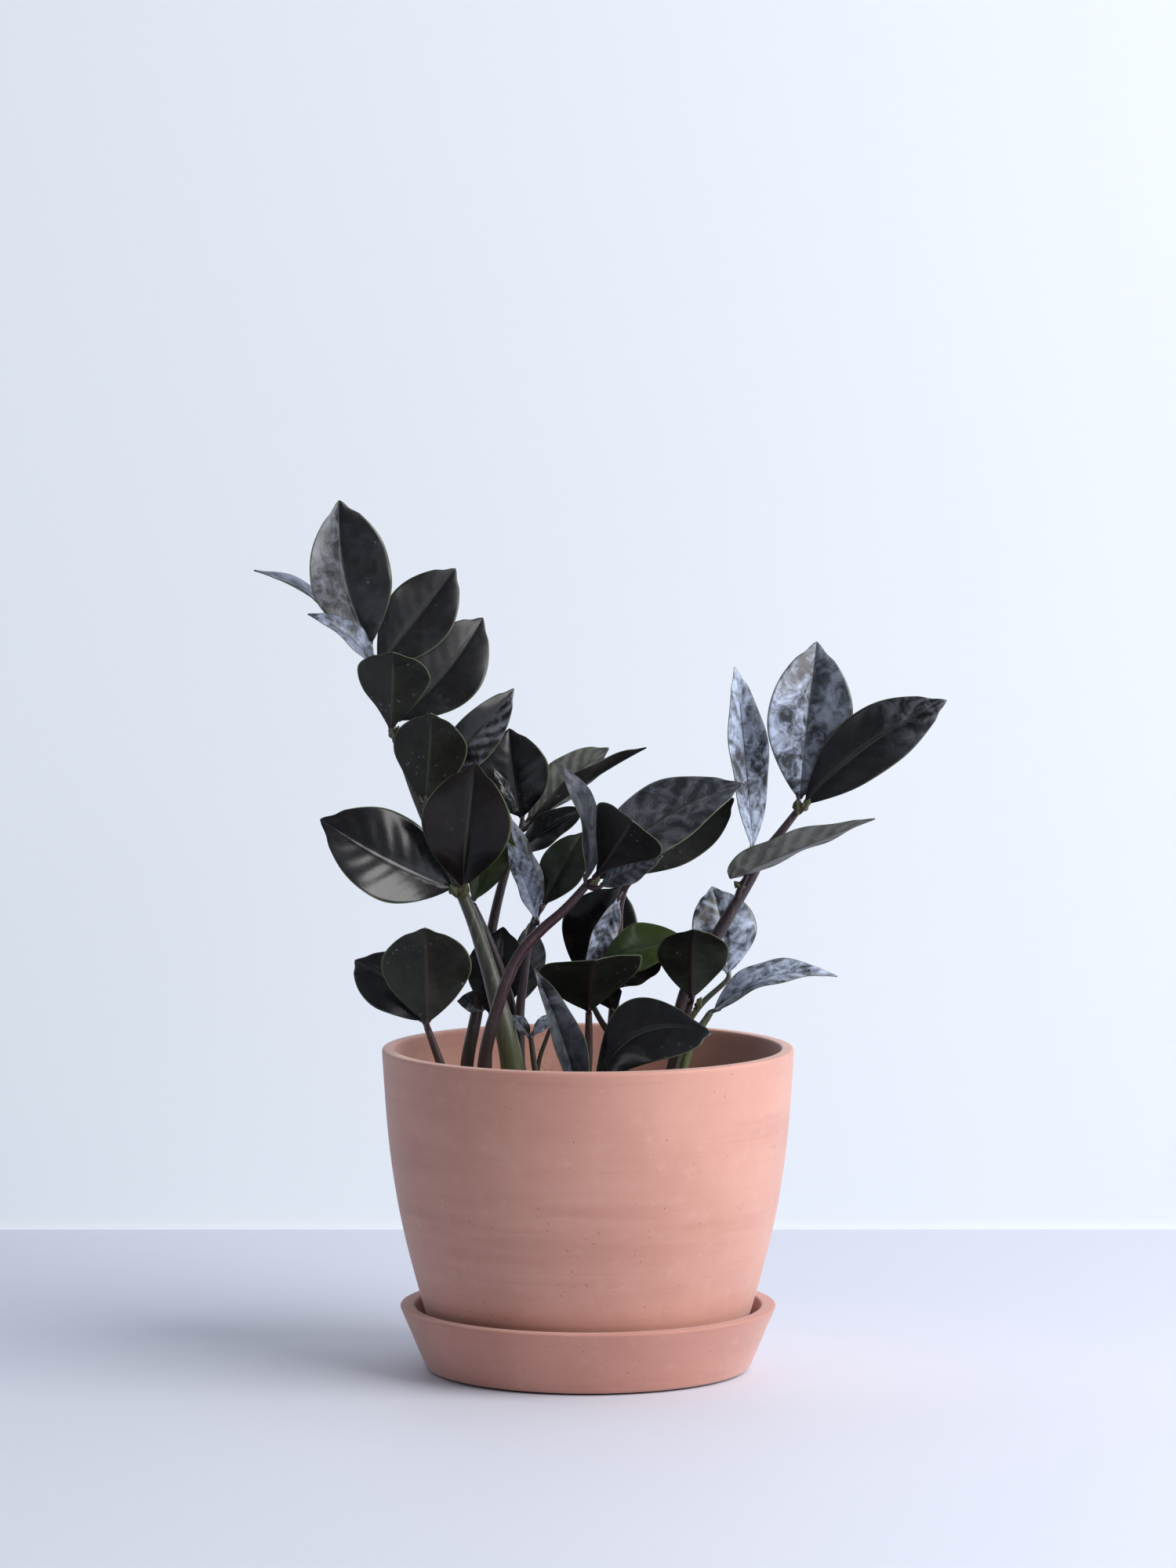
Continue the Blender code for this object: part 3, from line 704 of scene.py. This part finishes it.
def leaflet(name, joint, tip, width, face, upper, under, arch=4.0, bow=0.0, fold=12.0,
            clear=STEM_CLEAR, widest=0.52, quilt=0.05):
    """One blade from its joint to its point, in millimetres, with a sunk midrib.

    face is the way its upper side looks, arch and bow are how far its middle rises and swings
    aside, fold is each half's upward tilt in degrees, clear is its distance from the joint,
    widest is where along it the blade is broadest, and quilt is the height of its ridges.
    """
    root = Vector(joint)
    along = (Vector(tip) - root).normalized()
    root += along * clear
    length = (Vector(tip) - root).length
    up = Vector(face)
    up = (up - along * up.dot(along)).normalized()
    side = along.cross(up)
    lift = math.sin(math.radians(fold))
    spread = math.cos(math.radians(fold))
    phase = 0.13 * length + 0.37 * width
    form = bmesh.new()
    bmesh.ops.create_grid(form, x_segments=BLADE_GRID[0], y_segments=BLADE_GRID[1], size=0.5)
    bmesh.ops.reverse_faces(form, faces=form.faces)
    chart = form.loops.layers.uv.new("blade")
    for face_loop in (corner for patch in form.faces for corner in patch.loops):
        face_loop[chart].uv = (face_loop.vert.co.x + 0.5, face_loop.vert.co.y + 0.5)
    flesh = form.verts.layers.deform.verify()
    for point in form.verts:
        t = point.co.x + 0.5
        out = 2.0 * point.co.y
        a = abs(out)
        middle = 4.0 * t * (1.0 - t)
        half = half_width(t, width, widest) * out
        veins = math.sin(math.tau * (SIDE_VEINS * t - VEIN_SLANT * a) + phase)
        ridges = veins * a ** 0.5 * (1.0 - a) * 2.2
        shift = 1.0 if out > 0.0 else 3.4
        ripple = math.sin(math.tau * EDGE_RIPPLES * t + phase + shift) * a ** 3
        groove = math.exp(-(half / RIB_WIDTH) ** 2) * min(1.0, width / 20.0)
        rise = abs(half) * lift + arch * middle + 0.05 * width * a * (1.0 - a) * middle
        rise += (quilt * ridges + EDGE_WAVE * ripple) * middle - RIB_DEPTH * groove * middle
        place = root + along * (length * t) + side * (half * spread + bow * middle) + up * rise
        point[flesh][0] = 0.75 - 0.50 * a * a
        point.co = place * MM
    piece = make_piece(name, form, UPPER[upper], UNDER[under], leaf_margin)
    piece.vertex_groups.new(name="flesh")
    skin = piece.modifiers.new("thickness", "SOLIDIFY")
    skin.thickness = BLADE_THICKNESS * MM
    skin.offset = 0.0
    skin.vertex_group = "flesh"
    skin.material_offset = 1
    skin.material_offset_rim = 2
    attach(piece, "root")
    return along


def branch(name, paint, stem, shoots=(), leaflets=()):
    """A stem with its side shoots, its numbered leaflets and their short stalks.

    stem and each shoot are (x, y, z, radius) points. Each leaflet is its joint, tip, width,
    facing, upper and under finish, and its shape as leaflet takes it; stalk=False leaves out
    the short stalk, where a side shoot already ends in the blade. All are in millimetres.
    """
    routes = [stem, *shoots]
    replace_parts(tube(f"{name}_stalk", routes, paint), f"{name}_stem")
    stalks = []
    for number, (joint, tip, width, face, upper, under, shape) in enumerate(leaflets, 1):
        piece = f"{name}_blade_{number}"
        has_stalk = shape.pop("stalk", True)
        along = leaflet(piece, joint, tip, width, face, upper, under, **shape)
        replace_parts(bpy.data.objects[piece], f"{name}_leaflet_{number}")
        if has_stalk:
            clear = shape.get("clear", STEM_CLEAR)
            stalks.append(joint_route(routes, Vector(joint), along, clear))
    tube(f"{name}_leaf_stalks", stalks, paint)


# ---------- left_tall
# The oldest and tallest stem, thick and green at its foot, which leans to the left. It grew from
# the mix and carries ten near-black leaflets in pairs, each held by a short fleshy stalk, up to
# one at its tip. The lower four show their matt or darkest sides.
branch("left_tall", green_stem, stem=[
    (-28.5, -8, 92, 4.4), (-28.5, -8, 101, 4.4), (-29.3, -8, 118, 4.5), (-31.4, -8, 130, 4.2),
    (-34.8, -7, 143, 3.6), (-38.9, -6, 158, 3.1), (-46, -5, 179, 2.6), (-56.4, -3, 201, 2.1),
    (-63.6, -2, 216, 1.9), (-71.9, 0, 238, 1.6), (-78.5, 0, 258, 1.4), (-83, 0, 272, 1.2),
    (-83.8, 0, 279, 1),
], leaflets=[
    ((-84, 0, 280.5), (-95.7, -4, 336.8), 37, (0.5, -1, 0.1), "silver_left", "olive",
     dict(arch=1, bow=-5, fold=20, clear=0.5)),
    ((-82, 1.6, 271), (-51.3, 10, 310), 27, (0.1, -1, 0.1), "charcoal", "olive",
     dict(arch=1, fold=8)),
    ((-76, 2, 249), (-40.8, 15, 290.6), 29, (0, -1, 0.1), "charcoal", "olive",
     dict(arch=2, bow=2.5, fold=8, clear=3.6)),
    ((-67, 0, 222), (-28.7, 6, 263.7), 18, (0.2, -1, 0.2), "silver_right", "olive",
     dict(bow=1.5, fold=14, clear=4)),
    ((-84, 1, 278), (-129, 6, 309.5), 20, (0.1, -0.1, 1), "pale", "olive",
     dict(arch=5, fold=10, clear=3)),
    ((-79.5, -2, 262), (-107, -22, 294), 16, (0.75, -0.45, 0.65), "pale", "olive",
     dict(arch=7, fold=12)),
    ((-76, -4, 246), (-74, -33, 280), 29, (0.1, 1, 0.4), "black", "olive",
     dict(arch=1, fold=12, widest=0.64)),
    ((-63, -3, 219), (-60, -22, 256), 29, (0.1, 1, 0.3), "black", "olive", dict(fold=10)),
    ((-48.6, -8, 186), (-43, -22, 237), 36, (-0.1, -1, 0.2), "red_black", "dark",
     dict(fold=14, widest=0.57)),
    ((-50, -6, 186), (-102.7, -18, 215), 37, (0.1, -1, 0.5), "ribbed_black", "dark",
     dict(bow=-3.5, fold=12, clear=3, quilt=0.13)),
])

# ---------- left_second
# A thin purple stem that rises from the mix beside the tall one. It has one young green leaflet,
# soft and thin enough for light to shine through, grown on by a short stalk.
branch("left_second", purple_stem, stem=[
    (-28.4, 8, 92, 2.2), (-28.4, 8, 101, 2.2), (-28.4, 8, 117, 2.2), (-29.2, 7, 135, 2.1),
    (-32.6, 5, 150, 2), (-40.2, 2, 170, 1.8), (-44.6, 1, 180, 1.5),
], leaflets=[
    ((-45.3, 1, 180), (-31, 8, 217), 17, (0.2, -1, 0.2), "green", "green", dict(arch=2, fold=10)),
])

# ---------- mid_left
# A short purple stem in the middle, grown from the mix. A folded leaflet with painted silvery
# sheen, a narrow one behind it and a green one are fixed to it by short fleshy stalks.
branch("mid_left", purple_stem, stem=[
    (-22, -2, 92, 2), (-22, -2, 101, 2), (-26, 0, 117, 1.9), (-26.3, 1, 129, 1.8),
    (-26.3, 2, 140, 1.8),
    (-25, 2, 151, 1.7), (-22, 2, 170, 1.5), (-19.6, 2, 177, 1.3),
], leaflets=[
    ((-19.4, -1, 173), (-31.4, -14, 206), 12, (0.5, -1, 0.5), "silver", "dark",
     dict(arch=2, fold=18, clear=2)),
    ((-18.4, 0, 179), (-31.4, -1, 216), 11, (0.9, -0.7, 0.2), "pale", "dark",
     dict(arch=1, fold=14, clear=1.5, widest=0.32)),
    ((-18.2, 4.5, 178), (-2, 9.5, 207.5), 18, (-0.1, -1, 0.3), "deep_green", "olive",
     dict(arch=2, fold=8, clear=2.5)),
])

# ---------- back
# The stem furthest back, purple and fleshy, grown from the mix. Four firm waxy leaflets sit on
# short stalks and spread to the right behind the others.
branch("back", purple_stem, stem=[
    (-48, 12, 92, 2.8), (-48, 12, 101, 2.8), (-47.1, 12, 117, 2.6), (-43.5, 15, 136, 2.4),
    (-37.7, 20, 168, 2), (-34.4, 22, 183, 1.8), (-30.2, 25, 197, 1.6), (-25.9, 27, 208, 1.3),
], leaflets=[
    ((-30, 21, 196.5), (-1, 11, 216.5), 15, (-0.3, -1, 0.8), "black", "olive",
     dict(arch=2, fold=8)),
    ((-25, 29, 209), (8.2, 36, 238.5), 20, (0.1, 1, 0.9), "pale", "pale", dict(arch=3, fold=10)),
    ((-25.5, 25, 207), (22.7, 18, 240), 15, (-0.1, 0.4, 1), "silver", "dark",
     dict(arch=2, fold=20)),
    ((-25.6, 28, 210), (-30.8, 24, 247), 29, (0.1, -1, 0.1), "black", "dark",
     dict(arch=3, bow=-1.5, fold=10, clear=2)),
])

# ---------- centre
# The red-brown stem that crosses from the left to the middle. Four waxy leaflets grow from its
# end on short stalks and open like a hand; the topmost lies nearly flat.
branch("centre", red_stem, stem=[
    (-41, -24, 92, 2.6), (-41, -24, 101, 2.6), (-39.9, -24, 121, 2.6), (-38, -24, 132, 2.5),
    (-35.3, -23, 141, 2.4), (-31.7, -22, 152, 2.3), (-26.3, -20, 163, 2.2), (-19.3, -18, 171, 2.1),
    (-9.1, -16, 180, 1.8), (0, -15, 190, 1.5),
], leaflets=[
    ((-0.5, -16, 189.5), (-12.7, -26, 238), 24, (0.9, -0.35, 0.1), "dusky", "dark",
     dict(arch=6.5, fold=10, widest=0.34)),
    ((1.5, -17, 191), (17, -50, 217), 32, (0.7, 0.5, 0.8), "black", "dark",
     dict(arch=2, fold=16, widest=0.7)),
    ((2, -12, 191), (59.8, -8, 228), 32, (-0.2, -1, 0.9), "slate", "olive",
     dict(arch=4, bow=-4, fold=8, widest=0.45, quilt=0.22)),
    ((2, -19, 188), (28.5, -29.5, 202), 13, (0, -1, 0.7), "slate", "olive",
     dict(arch=1, fold=10, clear=3.5, quilt=0.2)),
])

# ---------- centre_right
# A red-brown stem behind the middle, grown from the mix. Two waxy leaflets sit high up on it and
# two more on thin side shoots low down.
branch("centre_right", red_stem, stem=[
    (8, 16, 92, 2.2), (8, 16, 101, 2.2), (8.5, 16, 117, 2.1), (10, 16, 137, 2), (12, 15, 160, 1.8),
    (13.6, 14, 184, 1.6), (17.5, 12, 190, 1.4),
], shoots=[
    [(9.3, 16, 127, 1.5), (5, 19, 133, 1.2), (0.5, 23, 141, 1.1), (-4.4, 25.6, 149, 1)],
    [(10, 16, 136, 1.3), (9.2, 10.5, 142.5, 1), (8.3, 6.6, 146, 0.9)],
], leaflets=[
    ((17, 11, 190), (56.5, 6, 221), 26, (0.3, 1, 0.4), "black", "olive",
     dict(arch=3, bow=2, fold=8)),
    ((-5, 26, 150), (13.2, 24, 185), 31, (0.1, -1, 0.2), "black", "dark", dict(arch=3, fold=10)),
    ((13, 13, 184), (-1, 2, 155), 11, (0.3, -1, 0), "silver", "dark",
     dict(arch=2, fold=22, clear=3.2)),
    ((8, 6, 146.3), (29, 4, 157), 14, (0.1, 1, 0.6), "black", "dark", dict(fold=8)),
])

# ---------- front
# The short red-brown front stem, grown from the mix. Its broad waxy leaflet leans forward on its
# stalk and shows its matt side, with a small dark one beside it.
branch("front", red_stem, stem=[
    (-2, -8, 92, 1.9), (-2, -8, 101, 1.9), (0, -8, 120, 1.7), (0.3, -8, 132, 1.5),
    (0.3, -9, 139, 1.3),
], shoots=[
    [(16, 3, 92, 1.4), (16, 3, 101, 1.4), (14.5, 4.5, 122, 1.2), (11.4, 6.2, 136.4, 1)],
], leaflets=[
    ((0.3, -9, 139), (3, -48, 164), 42, (-0.18, 0.5, 1), "charcoal", "red_rib", dict(fold=10)),
    ((11, 6, 137), (4, -6, 146), 13, (0, 0.8, 1), "black", "dark", dict(fold=8)),
])

# ---------- front_low
# A stub of purple stem low at the front. Its two waxy leaflets come out just above the mix, one
# standing up against the pot's wall and one bent down over the rim.
branch("front_low", purple_stem, stem=[
    (-1, -38, 92, 2.4), (-1, -38, 101, 2.4), (-1, -38, 106, 2),
], leaflets=[
    ((-3, -41, 107), (-20.5, -50, 161), 16, (0.5, -1, 0.3), "dusky", "dark",
     dict(fold=34, widest=0.4)),
    ((0, -39, 107), (47.1, -40, 135.5), 28, (-0.1, -1, 0.4), "black", "dark",
     dict(bow=-13, fold=10, widest=0.64)),
])

# ---------- left_low
# A short red-brown stem at the left of the pot, grown from the mix. It ends in a round waxy
# leaflet in front and a darker one behind, each on its stalk.
branch("left_low", red_stem, stem=[
    (-52, -22, 92, 1.9), (-52, -22, 101, 1.9), (-56.5, -25, 121, 1.7), (-59.2, -26, 129, 1.5),
    (-61.3, -27, 135, 1.3),
], leaflets=[
    ((-61.5, -28, 136), (-61.9, -46, 176), 35, (0, 1, 0.4), "black", "red_rib", dict(fold=8)),
    ((-62, -26, 137), (-89.7, -12, 160), 24, (0.1, -1, 0.3), "black", "dark", dict(bow=2, fold=8)),
])

# ---------- left_back
# A short purple stem behind the thick ones, grown from the mix. Its low waxy leaflets are mostly
# hidden by the stems in front.
branch("left_back", purple_stem, stem=[
    (-39, 12, 92, 1.8), (-39, 12, 101, 1.8), (-39, 11, 118, 1.6), (-38, 11, 134, 1.3),
], shoots=[
    [(-31, 22, 92, 1.5), (-31, 22, 101, 1.5), (-29.4, 23, 120, 1.3), (-27.3, 24, 136.4, 1)],
], leaflets=[
    ((-38, 12, 134), (-33, 16, 170), 24, (0, -1, 0.1), "black", "dark", dict(arch=2, fold=6)),
    ((-27, 24, 137), (-23, 30, 170), 14, (0.4, -1, 0.3), "slate", "dark", dict(fold=10)),
])

# ---------- thin
# A thread of a young purple stem, newly grown from the mix. One tiny pale leaflet stands at its
# end on a stalk of its own.
branch("thin", purple_stem, stem=[
    (-16, -14, 92, 1.4), (-16, -14, 101, 1.4), (-20.2, -14, 117, 1.2), (-22, -14, 130, 1),
], shoots=[
    [(-19.5, -10, 92, 1), (-19.4, -10, 118, 0.9), (-15.6, -9, 130.5, 0.8), (-13.3, -9, 136, 0.6)],
], leaflets=[
    ((-22.5, -14, 130), (-14.4, -12, 139), 5, (0.3, -1, 0.4), "pale", "dark", dict(arch=1, fold=8)),
])

# ---------- right_tall
# The tall purple stem on the right, grown from the mix. Its two lower waxy leaflets spread and its
# last pair stand up, each fixed by a short stalk; thin side shoots leave it low down.
branch("right_tall", purple_stem, stem=[
    (33, 5, 92, 2.8), (33, 5, 101, 2.8), (33.8, 5, 120, 2.7), (37.7, 5, 145, 2.6),
    (42.8, 5, 155, 2.6),
    (49, 5, 166, 2.5), (62.8, 5, 189.5, 2.1), (68.6, 5, 200, 1.8), (75.5, 5, 209, 1.6),
    (82.4, 5, 218, 1.3),
], shoots=[
    [(57.8, 5, 181, 1.7), (59, 2.5, 186.5, 1.2), (61.5, -2.2, 192.2, 0.9)],
], leaflets=[
    ((64, 8, 199.5), (56.8, 8, 272), 22, (0.9, -0.9, 0.1), "bright", "dark", dict(arch=1, fold=12)),
    ((81.6, 6, 219), (88.5, 10, 281.7), 35, (0.2, -1, 0.1), "bright_left", "dark",
     dict(bow=-1, fold=14)),
    ((82.4, 4, 218), (138, -6, 260), 27, (-0.3, -1, 0.3), "silver_tip", "dark",
     dict(bow=-2.6, fold=10)),
    ((54.5, -4.5, 190.8), (109.6, -27, 216), 24, (0.2, 0.3, 1), "slate", "pale",
     dict(arch=1, fold=14, clear=0.5, widest=0.32, quilt=0.2, stalk=False)),
])

# ---------- right_low
# A low green stem on the right, grown from the mix. It carries one long drooping leaflet and an
# oval one behind, each on a short stalk; both are pale and silvery from painted reflection.
branch("right_low", green_stem, stem=[
    (36, -12, 92, 2), (36, -12, 101, 2), (37, -12, 118, 1.8), (42, -10, 131, 1.6),
    (47, -9, 139, 1.3),
], shoots=[
    [(31, 16, 92, 1.5), (31, 16, 101, 1.5), (33, 16, 118, 1.4), (42, 15.5, 137, 1.2),
     (54.2, 15, 149.2, 1)],
], leaflets=[
    ((47, -9, 139.5), (96, -14, 154), 20, (0.1, -0.45, 1), "bright", "olive",
     dict(arch=8, fold=12, widest=0.38, quilt=0.22)),
    ((55, 15, 150), (48.3, 19, 185.5), 27, (0.3, -1, 0.2), "bright", "dark", dict(fold=8)),
])

# ---------- right_back
# The red-brown stem beside it, grown from the mix. It carries a round dark leaflet in front and a
# green one that reaches to the left, both waxy and on short stalks.
branch("right_back", red_stem, stem=[
    (28, -6, 92, 1.9), (28, -6, 101, 1.9), (32, -8, 118, 1.7), (38, -10, 138, 1.5),
    (40.5, -10, 149, 1.3),
    (41.4, -9.4, 159, 1.1), (41, -9, 167, 1),
], leaflets=[
    ((40, -12.4, 144), (40.5, -32, 174), 28, (0, 1, 0.5), "black", "red_rib", dict(fold=8)),
    ((40, -9, 168), (5.4, -2, 158), 20, (0, -1, 0.6), "green", "green", dict(fold=8)),
])


# ---------- young leaves and bracts
# Three small young leaves half hidden among the stems, and the little papery green scales that
# stay on a stem where a leaflet's stalk leaves it.
YOUNG_LEAVES = [
    ((-38, 17, 139), (-51, 15, 141), 9, (0, -1, 0.5), "slate"),
    ((-22.5, -9, 130), (-29.5, -6, 138), 6, (0.3, -1, 0.4), "pale"),
    ((-28, 16, 215), (-37, 14, 232.5), 4, (0.3, -1, 0.1), "silver_right"),
]
BRACTS = [
    ((-49, -8.2, 183), (-46.6, -10.4, 190), 4.4, (0.1, 1, 0)),
    ((-50.2, -7.6, 184), (-53.2, -9.8, 189), 4.0, (0.3, 1, 0)),
    ((81.9, 3.4, 215.5), (85.8, 0.4, 221.5), 3.8, (-0.5, 1, 0.3)),
    ((81.0, 3.2, 215.0), (80.6, 1.0, 221.0), 3.4, (0.3, 1, 0)),
    ((60.4, 2.6, 186.5), (56.6, 0.6, 189.4), 3.8, (0.6, 1, 0.2)),
    ((0.6, -16.9, 188.0), (4.2, -19.2, 193.4), 3.6, (-0.4, 1, 0.3)),
    ((-74.6, -1.4, 243.5), (-73.0, -3.8, 250.0), 3.2, (-0.1, 1, 0)),
    ((-63.0, -3.9, 214.0), (-60.8, -6.0, 220.0), 3.4, (-0.1, 1, 0)),
    ((41.4, -12.0, 141.0), (43.6, -14.6, 146.0), 3.0, (-0.3, 1, 0)),
]
for number, (joint, tip, width, face, upper) in enumerate(YOUNG_LEAVES, 1):
    leaflet(f"young_leaf_{number}", joint, tip, width, face, upper, "dark", arch=1.0, clear=0.0)
for number, (joint, tip, width, face) in enumerate(BRACTS, 1):
    leaflet(f"bract_{number}", joint, tip, width, face, "bract", "bract_back", arch=-0.8,
            fold=18.0, clear=0.0)
